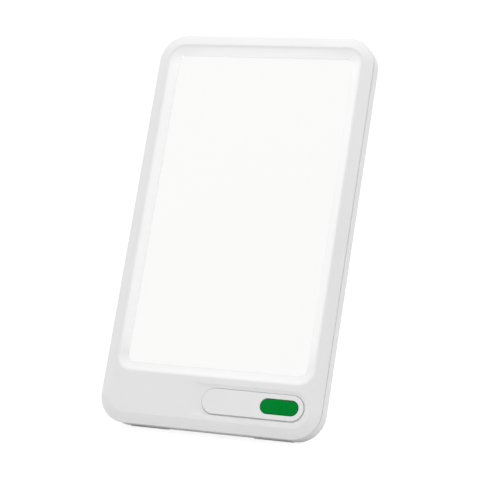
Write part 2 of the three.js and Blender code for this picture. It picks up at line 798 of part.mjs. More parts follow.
// Shallow panels moulded into the leg's inner face, which leave a grid of stiffening ribs
function legRecesses() {
  const recesses = [];
  const low = -legReach + fingerNotchHeight + 2 * legRibWidth;
  const high = -hingeRadius - 2 * legRibWidth;
  const pitch = (high - low) / legRibRows;
  for (let row = 0; row < legRibRows; row++) {
    const yLow = low + row * pitch + legRibWidth / 2;
    const yHigh = low + (row + 1) * pitch - legRibWidth / 2;
    const half = legTopWidth / 2 - 2 * legRibWidth;
    for (const side of [-1, 1]) {
      const [near, far] = [legRibWidth / 2, half];
      const xLow = side < 0 ? -far : near;
      const xHigh = side < 0 ? -near : far;
      recesses.push(slab(roundedShape(xLow, xHigh, yLow, yHigh, legRecessRadius),
        legInside - legRecessDepth, legInside + overrun, smallCornerSteps));
    }
  }
  return recesses;
}

function makeLegPad(name, side) {
  const [inner, outer] = legPadSides(side, 0);
  const middle = (legInside + legOutside) / 2;
  const low = middle - legPadThickness / 2;
  const body = facingOut(block(inner, outer, -legReach - legPadHeight, -legReach + 2 * legPadHeight,
    low, low + legPadThickness));
  const [grooveIn, grooveOut] = legPadSides(side, legPadMargin);
  const [grooveLow, grooveHigh] = tongueLevels(seatGap);
  const groove = facingOut(block(grooveIn, grooveOut, -legReach - legPadHeight,
    -legReach + 3 * legPadHeight, grooveLow, grooveHigh));
  const slot = cutFrom(groove, [belowFloor(legPadSole)]);
  const above = block(-legReach, legReach, -legDrop + legPadHeight, legReach, -legReach, legReach)
    .rotateX(-legSlant);
  return pieceOf(name, cutFrom(body, [belowFloor(0), above, slot]), 'rubber');
}

function makeHingePin(name, side) {
  const inner = legTopWidth / 2 - hingePinEngagement;
  return pieceOf(name, facingOut(crossBar(side * inner, side * (inner + hingePinLength),
    hingeHeight, hingeLevel, hingePinRadius, smallRoundSteps)), 'steel');
}

// A pill-shaped plate whose upper edge is rounded over
function roundedPill(left, right, middle, height, zLow, zHigh, round) {
  return loft([
    pillRing(left, right, middle, height, zLow),
    pillRing(left, right, middle, height, zHigh - round),
    pillRing(left + round / 4, right - round / 4, middle, height - round / 2, zHigh - round / 4),
    pillRing(left + round, right - round, middle, height - 2 * round, zHigh),
  ], false);
}

function makeControlPlate() {
  const body = roundedPill(plateLeft, plateRight, plateMiddle, plateHeight, plateUnderside, plateTop,
    plateEdgeRound);
  const hole = pillSlab(buttonRight - buttonLength - seatGap, buttonRight + seatGap, plateMiddle,
    buttonHeight + 2 * seatGap, plateUnderside - overrun, plateTop + overrun);
  return pieceOf('control_plate', cutFrom(body, [hole]), 'housing');
}

function makeButton() {
  const left = buttonRight - buttonLength;
  const cap = roundedPill(left, buttonRight, plateMiddle, buttonHeight, buttonUnderside, buttonTop,
    buttonEdgeRound);
  const flange = pillSlab(left - buttonFlange, buttonRight + buttonFlange, plateMiddle,
    buttonHeight + 2 * buttonFlange, buttonUnderside, buttonUnderside + buttonFlangeThickness);
  return pieceOf('power_button', joinTo(cap, [flange]), 'button');
}

function makeSwitch() {
  const half = switchWidth / 2;
  const well = peg(buttonCentre, plateMiddle, plungerRadius + seatGap, switchTop - switchHeight / 2,
    switchTop + overrun);
  const body = block(buttonCentre - half, buttonCentre + half, plateMiddle - half, plateMiddle + half,
    switchBase, switchTop);
  return pieceOf('switch_body', cutFrom(body, [well]), 'dark');
}

function makePlunger() {
  const floor = switchTop - switchHeight / 2 + buttonTravel + seatGap;
  return pieceOf('switch_plunger', peg(buttonCentre, plateMiddle, plungerRadius, floor,
    buttonUnderside - seatGap), 'dark');
}

function makeBoard() {
  const outline = roundedShape(-boardHalf, boardHalf, boardLowMargin, boardHigh, boardCorner);
  const body = slab(outline, boardUnderside, boardTop);
  const jackHalf = jackWidth / 2 + seatGap;
  const cuts = [block(jackCentre - jackHalf, jackCentre + jackHalf, plateMiddle - jackHalf,
    plateMiddle + jackHalf, boardUnderside - overrun, boardTop + overrun)];
  for (const [x, y] of boardScrewPlaces()) {
    cuts.push(peg(x, y, screwShankRadius + seatGap, boardUnderside - overrun, boardTop + overrun));
  }
  return pieceOf('control_board', cutFrom(body, cuts), 'board');
}

function makeBoardParts() {
  const base = boardTop + seatGap;
  const inductorX = inductorShare * boardHalf;
  const half = inductorWidth / 2;
  const chipX = chipShare * boardHalf;
  const chipHalf = chipWidth / 2;
  const parts = [
    pieceOf('inductor', slab(roundedShape(inductorX - half, inductorX + half, plateMiddle - half,
      plateMiddle + half, inductorRadius), base, base + inductorHeight, smallCornerSteps), 'dark'),
    pieceOf('driver_chip', block(chipX - chipHalf, chipX + chipHalf, plateMiddle - chipHalf,
      plateMiddle + chipHalf, base, base + chipHeight), 'dark'),
  ];
  capacitorShares.forEach((share, i) => {
    parts.push(pieceOf(`capacitor_${i + 1}`, peg(share * boardHalf, plateMiddle, capacitorRadius,
      base, base + capacitorHeight), 'steel'));
  });
  return parts;
}

// Adapter socket: a body that stands through the board, with a round nose in the rear wall
function makeJack() {
  const half = jackWidth / 2;
  const noseEnd = backLevel + jackNoseRecess;
  const body = block(jackCentre - half, jackCentre + half, plateMiddle - half, plateMiddle + half,
    backInside + jackShoulder, -jackTopLevel);
  const nose = peg(jackCentre, plateMiddle, jackNoseRadius, noseEnd, backInside + jackShoulder + overrun,
    roundSteps);
  const bore = peg(jackCentre, plateMiddle, jackBoreRadius, noseEnd - overrun,
    -jackTopLevel - jackFloorThickness, roundSteps);
  return [
    pieceOf('dc_socket', cutFrom(joinTo(body, [nose]), [bore]), 'dark'),
    pieceOf('dc_socket_pin', peg(jackCentre, plateMiddle, jackPinRadius, noseEnd + jackPinRecess,
      -jackTopLevel - jackFloorThickness - seatGap), 'brass'),
  ];
}

// A pair of fine wires as one lead, from the board over its edge to the end of a strip
function makeLead(name, side) {
  const start = boardHalf - leadBoardInset;
  const end = stripInside;
  const over = boardTop + seatGap + leadRadius;
  const under = guideTop - guideThickness / 2;
  const stripEnd = trayLow + stripEndInset - seatGap;
  const route = new THREE.CatmullRomCurve3([
    new THREE.Vector3(side * start, boardHigh - leadBoardInset, over),
    new THREE.Vector3(side * start, boardHigh - leadBoardInset / 2, over),
    new THREE.Vector3(side * (start + end) / 2, boardHigh, over),
    new THREE.Vector3(side * end, boardHigh + leadBoardInset / 2, under),
    new THREE.Vector3(side * end, stripEnd, under),
  ]);
  const circle = new THREE.Shape().absarc(0, 0, leadRadius, 0, 2 * Math.PI);
  const options = {
    extrudePath: route, steps: leadSteps, curveSegments: leadRoundSteps, bevelEnabled: false,
  };
  return pieceOf(name, new THREE.ExtrudeGeometry(circle, options), 'lead');
}

// A screw with a low domed head, turned about its own axis
function screwBody(headRadius, headHeight, shankLength) {
  const profile = [
    new THREE.Vector2(0, -headHeight),
    new THREE.Vector2(headRadius / 2, -headHeight),
    new THREE.Vector2(headRadius, -headHeight / 2),
    new THREE.Vector2(headRadius, 0),
    new THREE.Vector2(screwShankRadius, 0),
    new THREE.Vector2(screwShankRadius, shankLength),
    new THREE.Vector2(0, shankLength),
  ];
  return new THREE.LatheGeometry(profile, smallRoundSteps).rotateX(Math.PI / 2);
}

function closedLathe(geometry) {
  return geometryOf(solidOf(geometry));
}

function makeScrews() {
  const screws = [];
  const coverSeat = backLevel + screwHeadRecess + screwHeadHeight;
  coverScrewPlaces().forEach(([x, y], i) => {
    const body = screwBody(screwHeadRadius, screwHeadHeight, -tongueDepth - coverSeat);
    screws.push(pieceOf(`cover_screw_${i + 1}`, closedLathe(body).translate(x, y, coverSeat), 'steel'));
  });
  boardScrewPlaces().forEach(([x, y], i) => {
    const body = screwBody(screwHeadRadius, boardScrewHeadHeight, boardScrewLength);
    const seated = closedLathe(body).rotateX(Math.PI).translate(x, y, boardTop + seatGap);
    screws.push(pieceOf(`board_screw_${i + 1}`, seated, 'steel'));
  });
  return screws;
}

function makeLamp() {
  const lamp = new THREE.Group();
  const head = new THREE.Group();
  head.rotation.x = headTurn;
  head.add(makeFrontFrame(), makeLightSeal(), ...makeLightStack(), makeTray());
  head.add(makeStrip('led_strip_left', -1), makeStrip('led_strip_right', 1));
  head.add(makeRearCover(), makeControlPlate(), makeButton(), makeSwitch(), makePlunger());
  head.add(makeBoard(), ...makeBoardParts(), ...makeJack());
  head.add(makeLead('led_lead_left', -1), makeLead('led_lead_right', 1), ...makeScrews());
  head.add(makeHingePin('hinge_pin_left', -1), makeHingePin('hinge_pin_right', 1));
  const leg = new THREE.Group();
  leg.position.set(0, hingeHeight, hingeLevel);
  leg.rotation.x = legOpenAngle;
  leg.add(makeLeg(), makeLegPad('kickstand_pad_left', -1), makeLegPad('kickstand_pad_right', 1));
  head.add(leg);
  lamp.add(head, ...makeFootPads());
  // The origin goes to the middle of the footprint, on the floor
  const box = new THREE.Box3().setFromObject(lamp, true);
  lamp.position.set(0, -(box.min.y + box.max.y) / 2, -box.min.z);
  return lamp;
}

const lamp = makeLamp();
lamp.updateMatrixWorld(true);

export default lamp;
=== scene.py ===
# %% [markdown]
# # A light therapy lamp
#
# The real lamp is a flat white housing with a glowing window, and it leans back on its
# bottom edge and a fold-out leg. The CAD model already says where each piece is and how
# it moves. This lesson dresses that model: each piece that shows is modelled again with
# soft edges and fine detail, and every surface gets a procedural material. It could also
# be dressed by materials alone, but the flat facets of the CAD solids would show in the
# polished light of a product photograph.

# %% Load the frame
import json
import math

import bmesh
import bpy
from mathutils import Matrix
from mathutils import Vector

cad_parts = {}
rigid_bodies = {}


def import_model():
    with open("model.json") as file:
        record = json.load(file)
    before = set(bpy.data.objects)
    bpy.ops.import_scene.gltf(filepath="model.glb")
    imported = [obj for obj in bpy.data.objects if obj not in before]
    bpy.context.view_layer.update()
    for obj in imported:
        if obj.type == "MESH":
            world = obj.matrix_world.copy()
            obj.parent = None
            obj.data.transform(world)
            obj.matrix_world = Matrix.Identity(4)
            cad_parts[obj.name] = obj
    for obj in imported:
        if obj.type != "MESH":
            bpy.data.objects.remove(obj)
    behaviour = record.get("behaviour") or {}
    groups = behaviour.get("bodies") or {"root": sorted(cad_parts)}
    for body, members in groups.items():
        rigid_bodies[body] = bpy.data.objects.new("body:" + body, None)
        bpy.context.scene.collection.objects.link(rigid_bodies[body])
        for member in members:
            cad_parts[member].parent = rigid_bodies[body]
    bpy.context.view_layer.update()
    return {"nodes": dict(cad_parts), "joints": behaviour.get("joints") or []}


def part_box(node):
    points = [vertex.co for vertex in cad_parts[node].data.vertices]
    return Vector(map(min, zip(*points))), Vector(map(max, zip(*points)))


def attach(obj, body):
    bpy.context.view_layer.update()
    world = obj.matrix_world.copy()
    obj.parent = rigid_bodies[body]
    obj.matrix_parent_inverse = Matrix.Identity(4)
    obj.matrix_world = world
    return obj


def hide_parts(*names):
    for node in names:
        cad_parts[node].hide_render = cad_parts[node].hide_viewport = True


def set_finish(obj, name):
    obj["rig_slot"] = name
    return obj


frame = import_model()
print("nodes:", len(frame["nodes"]))

# %% [markdown]
# ## Where the head stands
#
# The head is a flat panel, so it is far easier to draw lying flat: X to the right, Y up
# the panel, Z out of the window, and Z = 0 where the front frame meets the rear cover.
# One matrix then leans it back. The matrix is worked out from the leg's hinge, because
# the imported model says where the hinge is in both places.

# %% Lean the head back
mm = 0.001
panel_turn = math.radians(66.4)
hinge_up = 160 * mm
hinge_level = -10.5 * mm

hinge_joint = [joint for joint in frame["joints"] if joint["name"] == "leg_hinge"][0]
hinge = Vector(hinge_joint["pos_m"])
turn = Matrix.Rotation(panel_turn, 4, "X")
head_place = Matrix.Translation(hinge - turn @ Vector((0, hinge_up, hinge_level))) @ turn
print("head origin, mm:", [round(v / mm, 2) for v in head_place.translation])

# %% [markdown]
# ## Helpers for modelling
#
# Blender's mesh tools act on whatever is selected. These helpers do what a hand does
# between two tools: they drop the old selection, take hold of one piece, and pick faces
# or corners by where they lie.


# %% Take hold of a piece
def let_go():
    if bpy.context.mode != "OBJECT":
        bpy.ops.object.mode_set(mode="OBJECT")
    bpy.ops.object.select_all(action="DESELECT")


def hold(piece):
    let_go()
    bpy.context.view_layer.objects.active = piece
    piece.select_set(True)


def open_mesh(piece, kind="FACE"):
    hold(piece)
    bpy.ops.object.mode_set(mode="EDIT")
    bpy.ops.mesh.select_mode(type=kind)
    bpy.ops.mesh.select_all(action="DESELECT")


def close_mesh():
    bpy.ops.object.mode_set(mode="OBJECT")


# %% Pick by place
def pick_corners(piece, wanted):
    bpy.ops.mesh.select_mode(type="VERT")
    mesh = bmesh.from_edit_mesh(piece.data)
    for corner in mesh.verts:
        corner.select_set(wanted(corner))
    mesh.select_flush_mode()
    bmesh.update_edit_mesh(piece.data)


def pick_faces(piece, wanted):
    bpy.ops.mesh.select_mode(type="FACE")
    mesh = bmesh.from_edit_mesh(piece.data)
    for face in mesh.faces:
        face.select_set(wanted(face))
    bmesh.update_edit_mesh(piece.data)


# The one face with many sides is the flat middle that the next step works on
def pick_middle(piece):
    pick_faces(piece, lambda face: len(face.verts) > 4)


# %% Flat outlines
def rounded_plate(name, low, high, level, radius, steps=24):
    let_go()
    centre = ((low[0] + high[0]) / 2, (low[1] + high[1]) / 2, level)
    bpy.ops.mesh.primitive_plane_add(size=1, location=centre)
    plate = bpy.context.object
    plate.name = name
    plate.scale = (high[0] - low[0], high[1] - low[1], 1)
    bpy.ops.object.transform_apply(location=True, rotation=True, scale=True)
    open_mesh(plate, "VERT")
    bpy.ops.mesh.select_all(action="SELECT")
    bpy.ops.mesh.bevel(offset=radius, segments=steps, affect="VERTICES")
    pick_faces(plate, lambda face: True)
    return plate


# A pill is a plate whose corner radius is half its height. The corners meet at its two ends
# and are merged there, because an edge of no length would spoil the insets that follow.
def pill_plate(name, left, right, middle, height, level, steps=24):
    low = (left, middle - height / 2)
    high = (right, middle + height / 2)
    pill = rounded_plate(name, low, high, level, height / 2, steps)
    bpy.ops.mesh.select_all(action="SELECT")
    bpy.ops.mesh.remove_doubles(threshold=0.005 * mm)
    pick_faces(pill, lambda face: True)
    return pill


# %% Ring by ring
# Insets the chosen face through a list of (inset, level) stations
def walk_in(stations):
    inset, level = stations[0]
    for next_inset, next_level in stations[1:]:
        bpy.ops.mesh.inset(thickness=next_inset - inset, depth=next_level - level)
        inset, level = next_inset, next_level


def move_lower_edge(piece, middle, distance):
    bpy.ops.mesh.select_mode(type="FACE")
    mesh = bmesh.from_edit_mesh(piece.data)
    face = [face for face in mesh.faces if face.select][0]
    lower = {corner.index for corner in face.verts if corner.co.y < middle}
    pick_corners(piece, lambda corner: corner.index in lower)
    bpy.ops.transform.translate(value=(0, distance, 0))
    pick_middle(piece)


# %% Join and cut
def apply_all(piece):
    hold(piece)
    for modifier in list(piece.modifiers):
        bpy.ops.object.modifier_apply(modifier=modifier.name)


def join_pieces(pieces):
    hold(pieces[0])
    for piece in pieces[1:]:
        piece.select_set(True)
    bpy.ops.object.join()
    return bpy.context.object


def close_seams(piece, distance=0.002 * mm):
    open_mesh(piece, "VERT")
    bpy.ops.mesh.select_all(action="SELECT")
    bpy.ops.mesh.remove_doubles(threshold=distance)
    bpy.ops.mesh.normals_make_consistent(inside=False)
    close_mesh()


def carve(piece, tool, operation="DIFFERENCE"):
    hold(piece)
    cut = piece.modifiers.new("cut", "BOOLEAN")
    cut.object = tool
    cut.operation = operation
    cut.solver = "EXACT"
    bpy.ops.object.modifier_apply(modifier=cut.name)
    bpy.data.objects.remove(tool)


def thicken(piece, distance):
    hold(piece)
    bpy.ops.object.mode_set(mode="EDIT")
    bpy.ops.mesh.select_all(action="SELECT")
    bpy.ops.mesh.extrude_region_move(TRANSFORM_OT_translate={"value": (0, 0, distance)})
    bpy.ops.mesh.select_all(action="SELECT")
    bpy.ops.mesh.normals_make_consistent(inside=False)
    close_mesh()


# %% Soften the edges and the shading
def soften(piece, width, angle=30, steps=2):
    hold(piece)
    edge = piece.modifiers.new("edge", "BEVEL")
    edge.width = width
    edge.segments = steps
    edge.limit_method = "ANGLE"
    edge.angle_limit = math.radians(angle)
    edge.harden_normals = False
    bpy.ops.object.modifier_apply(modifier=edge.name)


def smooth(piece, angle=30):
    hold(piece)
    bpy.ops.object.shade_smooth_by_angle(angle=math.radians(angle))
    weight = piece.modifiers.new("weight", "WEIGHTED_NORMAL")
    weight.keep_sharp = True
    apply_all(piece)


# %% Put a finished piece in its place
def set_down(piece, place):
    hold(piece)
    piece.matrix_world = place
    bpy.ops.object.transform_apply(location=True, rotation=True, scale=True)


def dress(piece, body, nodes, slot):
    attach(piece, body)
    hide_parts(*nodes)
    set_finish(piece, slot)
    print(piece.name, "replaces", ", ".join(nodes), "faces:", len(piece.data.polygons))


# %% [markdown]
# ## Front frame
#
# The frame is one moulding. From its rounded outer edge it slopes up to a crest, and from
# the crest a soft cove runs down to the window. Below the window the crest widens into a
# chin. A sweep along a path could make it too, but here the rounded rectangle is inset
# again and again, each time with a little more height, which keeps every ring parallel to
# the rim.

# %% Sizes of the frame
panel_wide = 152 * mm
panel_high = 265.3 * mm
corner_radius = 18.5 * mm
chin = 26.5 * mm
rim_edge = 0.9 * mm
rim_round = 0.5 * mm
rim_curve = 1.06
roll_wide = 6.7 * mm
crest = 2.8 * mm
cove_wide = 7.3 * mm
lip_top = -0.25 * mm
lip_under = -0.9 * mm
opening = roll_wide + cove_wide
panel_low = (-panel_wide / 2, 0)
panel_far = (panel_wide / 2, panel_high)
panel_middle = panel_high / 2


# %% The sloping rim and the cove as stations
def rim_level(inset):
    return rim_edge + (crest - rim_edge) * (1 - (1 - inset / roll_wide) ** rim_curve)


# A small arc turns the upright edge into the slope
def rim_stations(steps=14, arc_steps=5):
    tilt = math.atan(rim_curve * (crest - rim_edge) / roll_wide)
    arc_wide = rim_round * (1 - math.sin(tilt))
    start = rim_level(arc_wide) - rim_round * math.cos(tilt)
    stations = [(0, start)]
    for i in range(1, arc_steps + 1):
        angle = (math.pi / 2 - tilt) * i / arc_steps
        stations.append((rim_round * (1 - math.cos(angle)), start + rim_round * math.sin(angle)))
    for i in range(1, steps + 1):
        inset = arc_wide + (roll_wide - arc_wide) * math.sin(math.pi / 2 * i / steps)
        stations.append((inset, rim_level(inset)))
    return stations


# The cove starts level at the crest, turns down and then keeps one slope to the lip
def cove_stations(steps=18, turned=0.3):
    stations = []
    for i in range(steps + 1):
        share = i / steps
        drop = share ** 2 / (2 * turned) if share < turned else share - turned / 2
        level = crest - (crest - lip_top) * drop / (1 - turned / 2)
        stations.append((roll_wide + cove_wide * share, level))
    return stations


# %% The outer skin of the frame
hair = 0.01 * mm
front_frame = rounded_plate("front_frame_skin", panel_low, panel_far, 0, corner_radius)
walk_in([(0, 0)] + rim_stations())
walk_in([(0, 0), (hair, 0)])
move_lower_edge(front_frame, panel_middle, chin)
walk_in(cove_stations())
walk_in([(0, lip_top), (0, lip_under)])
bpy.ops.mesh.delete(type="FACE")
close_mesh()
print("outer skin faces:", len(front_frame.data.polygons))

# %% The hidden side of the frame
tongue_near = 2.6 * mm
tongue_far = 3.9 * mm
baffle_near = 8.6 * mm
baffle_far = 9.6 * mm
rib_end = -3 * mm
wall_under = 1 * mm
tongue = [(tongue_near, 0), (tongue_near, rib_end), (tongue_far, rib_end),
          (tongue_far, wall_under)]
baffle = [(baffle_near, wall_under), (baffle_near, rib_end), (baffle_far, rib_end),
          (baffle_far, lip_under)]
inner_skin = rounded_plate("frame_inner_skin", panel_low, panel_far, 0, corner_radius)
walk_in([(0, 0)] + tongue)
move_lower_edge(inner_skin, panel_middle, chin)
walk_in([tongue[-1]] + baffle + [(opening + hair, lip_under)])
bpy.ops.mesh.delete(type="FACE")
close_mesh()
front_frame = join_pieces([front_frame, inner_skin])
close_seams(front_frame)
print("frame faces:", len(front_frame.data.polygons))

# %% [markdown]
# The chin carries a pill-shaped plate, which sits in a shallow landing. The landing's
# sides keep close to the plate, but to the left its floor rises slowly until it meets the
# chin, like a scoop. It is cut with a tool made ring by ring, and a straight pill then goes
# right through the wall.

# %% Sizes of the control plate
plate_left = -4.2 * mm
plate_right = 64.5 * mm
plate_middle = 19.25 * mm
plate_high = 16.3 * mm
plate_under = 1.3 * mm
plate_top = 2.95 * mm
gap = 0.3 * mm
groove = 0.5 * mm
landing_deep = 0.9 * mm
landing_sides = {"left": 10 * mm, "right": 2 * mm, "top": 2.6 * mm, "bottom": 0.9 * mm}
landing_blunt = 3 * mm
seat_border = 2 * mm
seat_drop = 1.3 * mm
seat_thick = 1.6 * mm
seat_hole_inset = 1.5 * mm
seat_hole_deep = 12 * mm
plate_hole_deep = 6 * mm


# %% The landing's outline at any share of its depth
def landing_ring(share):
    out = 1 - share
    low = plate_middle - plate_high / 2 - groove - landing_sides["bottom"] * out
    high = plate_middle + plate_high / 2 + groove + landing_sides["top"] * out
    half = (high - low) / 2
    left = plate_left - groove - landing_sides["left"] * out + landing_blunt
    right = plate_right + groove + landing_sides["right"] * out - half
    level = crest + 0.01 * mm - landing_deep * (1 - math.cos(math.pi * share)) / 2
    return left, right, (low + high) / 2, half, level


# Moves a corner from one ring to the next. The right end is round and the left is blunt.
def pull_corner(corner, before, after):
    old_left, old_right, old_middle, old_half, _ = landing_ring(before)
    left, right, middle, half, level = landing_ring(after)
    if corner.co.x > (old_left + old_right) / 2:
        corner.co.x = right + (corner.co.x - old_right) * half / old_half
    else:
        corner.co.x = left + corner.co.x - old_left
    corner.co.y = middle + (corner.co.y - old_middle) * half / old_half
    corner.co.z = level


# %% Cut the landing and the plate's hole
def landing_tool(steps=10):
    left, right, middle, half, level = landing_ring(0)
    tool = pill_plate("landing_tool", left - half, right + half, middle, 2 * half, level)
    mesh = bmesh.from_edit_mesh(tool.data)
    for corner in mesh.verts:
        if corner.co.x < left:
            corner.co.x = left + (corner.co.x - left) * landing_blunt / half
    bmesh.update_edit_mesh(tool.data)
    for i in range(1, steps + 1):
        bpy.ops.mesh.extrude_region_move()
        mesh = bmesh.from_edit_mesh(tool.data)
        face = [face for face in mesh.faces if face.select][0]
        for corner in face.verts:
            pull_corner(corner, (i - 1) / steps, i / steps)
        bmesh.update_edit_mesh(tool.data)
    close_mesh()
    close_seams(tool)
    return tool


plate_hole = pill_plate("plate_hole", plate_left - groove, plate_right + groove, plate_middle,
                        plate_high + 2 * groove, plate_under - gap)
close_mesh()
thicken(plate_hole, plate_hole_deep)
seat = pill_plate("plate_seat", plate_left - seat_border, plate_right + seat_border,
                  plate_middle, plate_high + 2 * seat_border, plate_under - gap - seat_drop)
close_mesh()
thicken(seat, seat_thick)
seat_hole = pill_plate("seat_hole", plate_left + seat_hole_inset,
                       plate_right - seat_hole_inset, plate_middle,
                       plate_high - 2 * seat_hole_inset, -5 * mm)
close_mesh()
thicken(seat_hole, seat_hole_deep)
carve(front_frame, seat, "UNION")
carve(front_frame, landing_tool())
carve(front_frame, plate_hole)
carve(front_frame, seat_hole)
smooth(front_frame, 35)
set_down(front_frame, head_place)
front_frame.name = "front_frame_moulding"
print("front frame:", [round(v / mm, 1) for v in front_frame.dimensions])

# %% [markdown]
# ## Control plate and button
#
# The plate is a thin pill with a hole for the button. Both have a small rolled edge,
# which catches the light as a bright line just inside the dark gap. The button is
# crowned by a few tenths, so that its green doesn't look like a flat sticker.

# %% The control plate
button_left = 35.7 * mm
button_right = 61 * mm
button_high = 9.4 * mm
edge_roll = 0.35 * mm


def roll_over(inset, level, radius, steps=5):
    stations = [(inset, level - radius)]
    for i in range(1, steps + 1):
        angle = math.pi / 2 * i / steps
        stations.append((inset + radius * (1 - math.cos(angle)),
                         level - radius + radius * math.sin(angle)))
    return stations


control_plate = pill_plate("control_plate_moulding", plate_left, plate_right, plate_middle,
                           plate_high, plate_under)
rise = plate_top - edge_roll - plate_under
bpy.ops.mesh.extrude_region_move(TRANSFORM_OT_translate={"value": (0, 0, rise)})
walk_in(roll_over(0, plate_top, edge_roll))
close_mesh()
close_seams(control_plate)
button_hole = pill_plate("button_hole", button_left - gap, button_right + gap, plate_middle,
                         button_high + 2 * gap, plate_under - 1 * mm)
close_mesh()
thicken(button_hole, 4 * mm)
carve(control_plate, button_hole)
soften(control_plate, 0.28 * mm, angle=50, steps=3)
smooth(control_plate, 40)
set_down(control_plate, head_place)
dress(control_plate, "housing", ["control_plate"], "housing")

# %% The button
button_under = 0.3 * mm
flange_top = 1 * mm
flange_wide = 1 * mm
button_top = 3.15 * mm
button_crown = 0.14 * mm
button_roll = 0.45 * mm


def crown_stations(steps=6):
    edge = button_top - button_crown
    first = flange_wide + button_roll
    last = flange_wide + button_high / 2 - 0.4 * mm
    stations = [(first, edge)]
    for i in range(1, steps + 1):
        share = i / steps
        stations.append((first + (last - first) * share,
                         edge + button_crown * math.sin(share * math.pi / 2)))
    return stations


power_button = pill_plate("power_button_moulding", button_left - flange_wide,
                          button_right + flange_wide, plate_middle,
                          button_high + 2 * flange_wide, button_under)
rise = flange_top - button_under
bpy.ops.mesh.extrude_region_move(TRANSFORM_OT_translate={"value": (0, 0, rise)})
edge_stations = roll_over(flange_wide, button_top - button_crown, button_roll)
walk_in([(0, flange_top), (flange_wide, flange_top), edge_stations[0]])
walk_in(edge_stations)
walk_in(crown_stations())
close_mesh()
close_seams(power_button)
smooth(power_button, 40)
set_down(power_button, head_place)
dress(power_button, "button", ["power_button"], "button")

# %% [markdown]
# ## Rear cover
#
# The cover is a shallow tray. Its back edge is rounded more at the sides than at the
# bottom, so each ring is inset for the sides and its lower edge is then moved back down.
# Solidify gives the wall. The pocket for the leg, the screw bosses and the hole for the
# adapter are joined on or cut out, as the mould's inserts would do.

# %% Sizes of the cover
cover_inset = 0.1 * mm
cover_low_inset = 0.45 * mm
cover_rim = -1.4 * mm
cover_back = -12.5 * mm
cover_wall = 1.8 * mm
side_round = 3.1 * mm
bottom_round = 2 * mm


def round_inset(radius, level):
    past = cover_back + radius - level
    if past <= 0:
        return 0
    return radius - math.sqrt(max(0, radius * radius - past * past))


# %% The cover's shell
def cover_shell(steps=12):
    low = (-panel_wide / 2 + cover_inset, cover_low_inset)
    high = (panel_wide / 2 - cover_inset, panel_high - cover_inset)
    shell = rounded_plate("rear_cover_moulding", low, high, cover_rim,
                          corner_radius - cover_inset)
    inset, level, lowered = 0, cover_rim, 0
    for i in range(steps + 1):
        angle = math.pi / 2 * i / steps
        next_inset = side_round * (1 - math.cos(angle))
        next_level = cover_back + side_round * (1 - math.sin(angle))
        walk_in([(inset, level), (next_inset, next_level)])
        wanted = next_inset - round_inset(bottom_round, next_level)
        move_lower_edge(shell, panel_middle, lowered - wanted)
        inset, level, lowered = next_inset, next_level, wanted
    close_mesh()
    wall = shell.modifiers.new("wall", "SOLIDIFY")
    wall.thickness = cover_wall
    wall.offset = 1
    wall.use_even_offset = True
    apply_all(shell)
    close_seams(shell)
    return shell


rear_cover = cover_shell()
print("cover shell, mm:", [round(v / mm, 1) for v in rear_cover.dimensions])

# %% [markdown]
# The pocket follows the leg's outline with half a millimetre to spare. At its upper end
# the wall slants, and the leg's heel comes to rest against that slant when it is open.

# %% Sizes of the leg and its pocket
leg_open = math.radians(35.6)
leg_slant = math.radians(12)
leg_reach = hinge.z / math.cos(leg_slant)
leg_top_wide = 48 * mm
leg_foot_wide = 56 * mm
leg_corner = 7 * mm
leg_heel = 2.5 * mm
leg_outer = -1.7 * mm
leg_inner = 1.1 * mm
leg_space = 0.5 * mm
pocket_floor = -8.5 * mm
pocket_wall = 1.2 * mm
barrel_radius = 1.7 * mm


# %% The leg's outline, seen from its hinge
def leg_plate(name, extra, top, level, steps=16):
    let_go()
    foot = leg_reach + extra
    bpy.ops.mesh.primitive_plane_add(size=1, location=(0, (top - foot) / 2, level))
    plate = bpy.context.object
    plate.name = name
    plate.scale = (leg_foot_wide + 2 * extra, top + foot, 1)
    bpy.ops.object.transform_apply(location=True, rotation=True, scale=True)
    open_mesh(plate, "VERT")
    pick_corners(plate, lambda corner: corner.co.y > 0)
    narrower = (leg_top_wide + 2 * extra) / (leg_foot_wide + 2 * extra)
    bpy.ops.transform.resize(value=(narrower, 1, 1))
    pick_corners(plate, lambda corner: corner.co.y < 0)
    bpy.ops.mesh.bevel(offset=leg_corner, segments=steps, affect="VERTICES")
    close_mesh()
    return plate


def slice_off(piece, point, normal):
    hold(piece)
    bpy.ops.object.mode_set(mode="EDIT")
    bpy.ops.mesh.select_all(action="SELECT")
    bpy.ops.mesh.bisect(plane_co=point, plane_no=normal, use_fill=True, clear_outer=True)
    close_mesh()


# %% Build the pocket into the cover
hinge_in_head = Matrix.Translation((0, hinge_up, hinge_level))
pocket_top = leg_heel + 12 * mm
floor_level = pocket_floor - hinge_level

pocket_block = leg_plate("pocket_block", leg_space + pocket_wall, pocket_top,
                         cover_back + cover_wall / 2 - hinge_level)
block_deep = pocket_floor + pocket_wall - (cover_back + cover_wall / 2)
thicken(pocket_block, block_deep)
set_down(pocket_block, hinge_in_head)
carve(rear_cover, pocket_block, "UNION")

pocket = leg_plate("pocket", leg_space, pocket_top, cover_back - 3 * mm - hinge_level)
thicken(pocket, floor_level - (cover_back - 3 * mm - hinge_level))
stop_normal = Vector((0, math.cos(leg_open), math.sin(leg_open)))
slice_off(pocket, stop_normal * (leg_heel + gap), stop_normal)
set_down(pocket, hinge_in_head)
carve(rear_cover, pocket)
print("cover faces:", len(rear_cover.data.polygons))

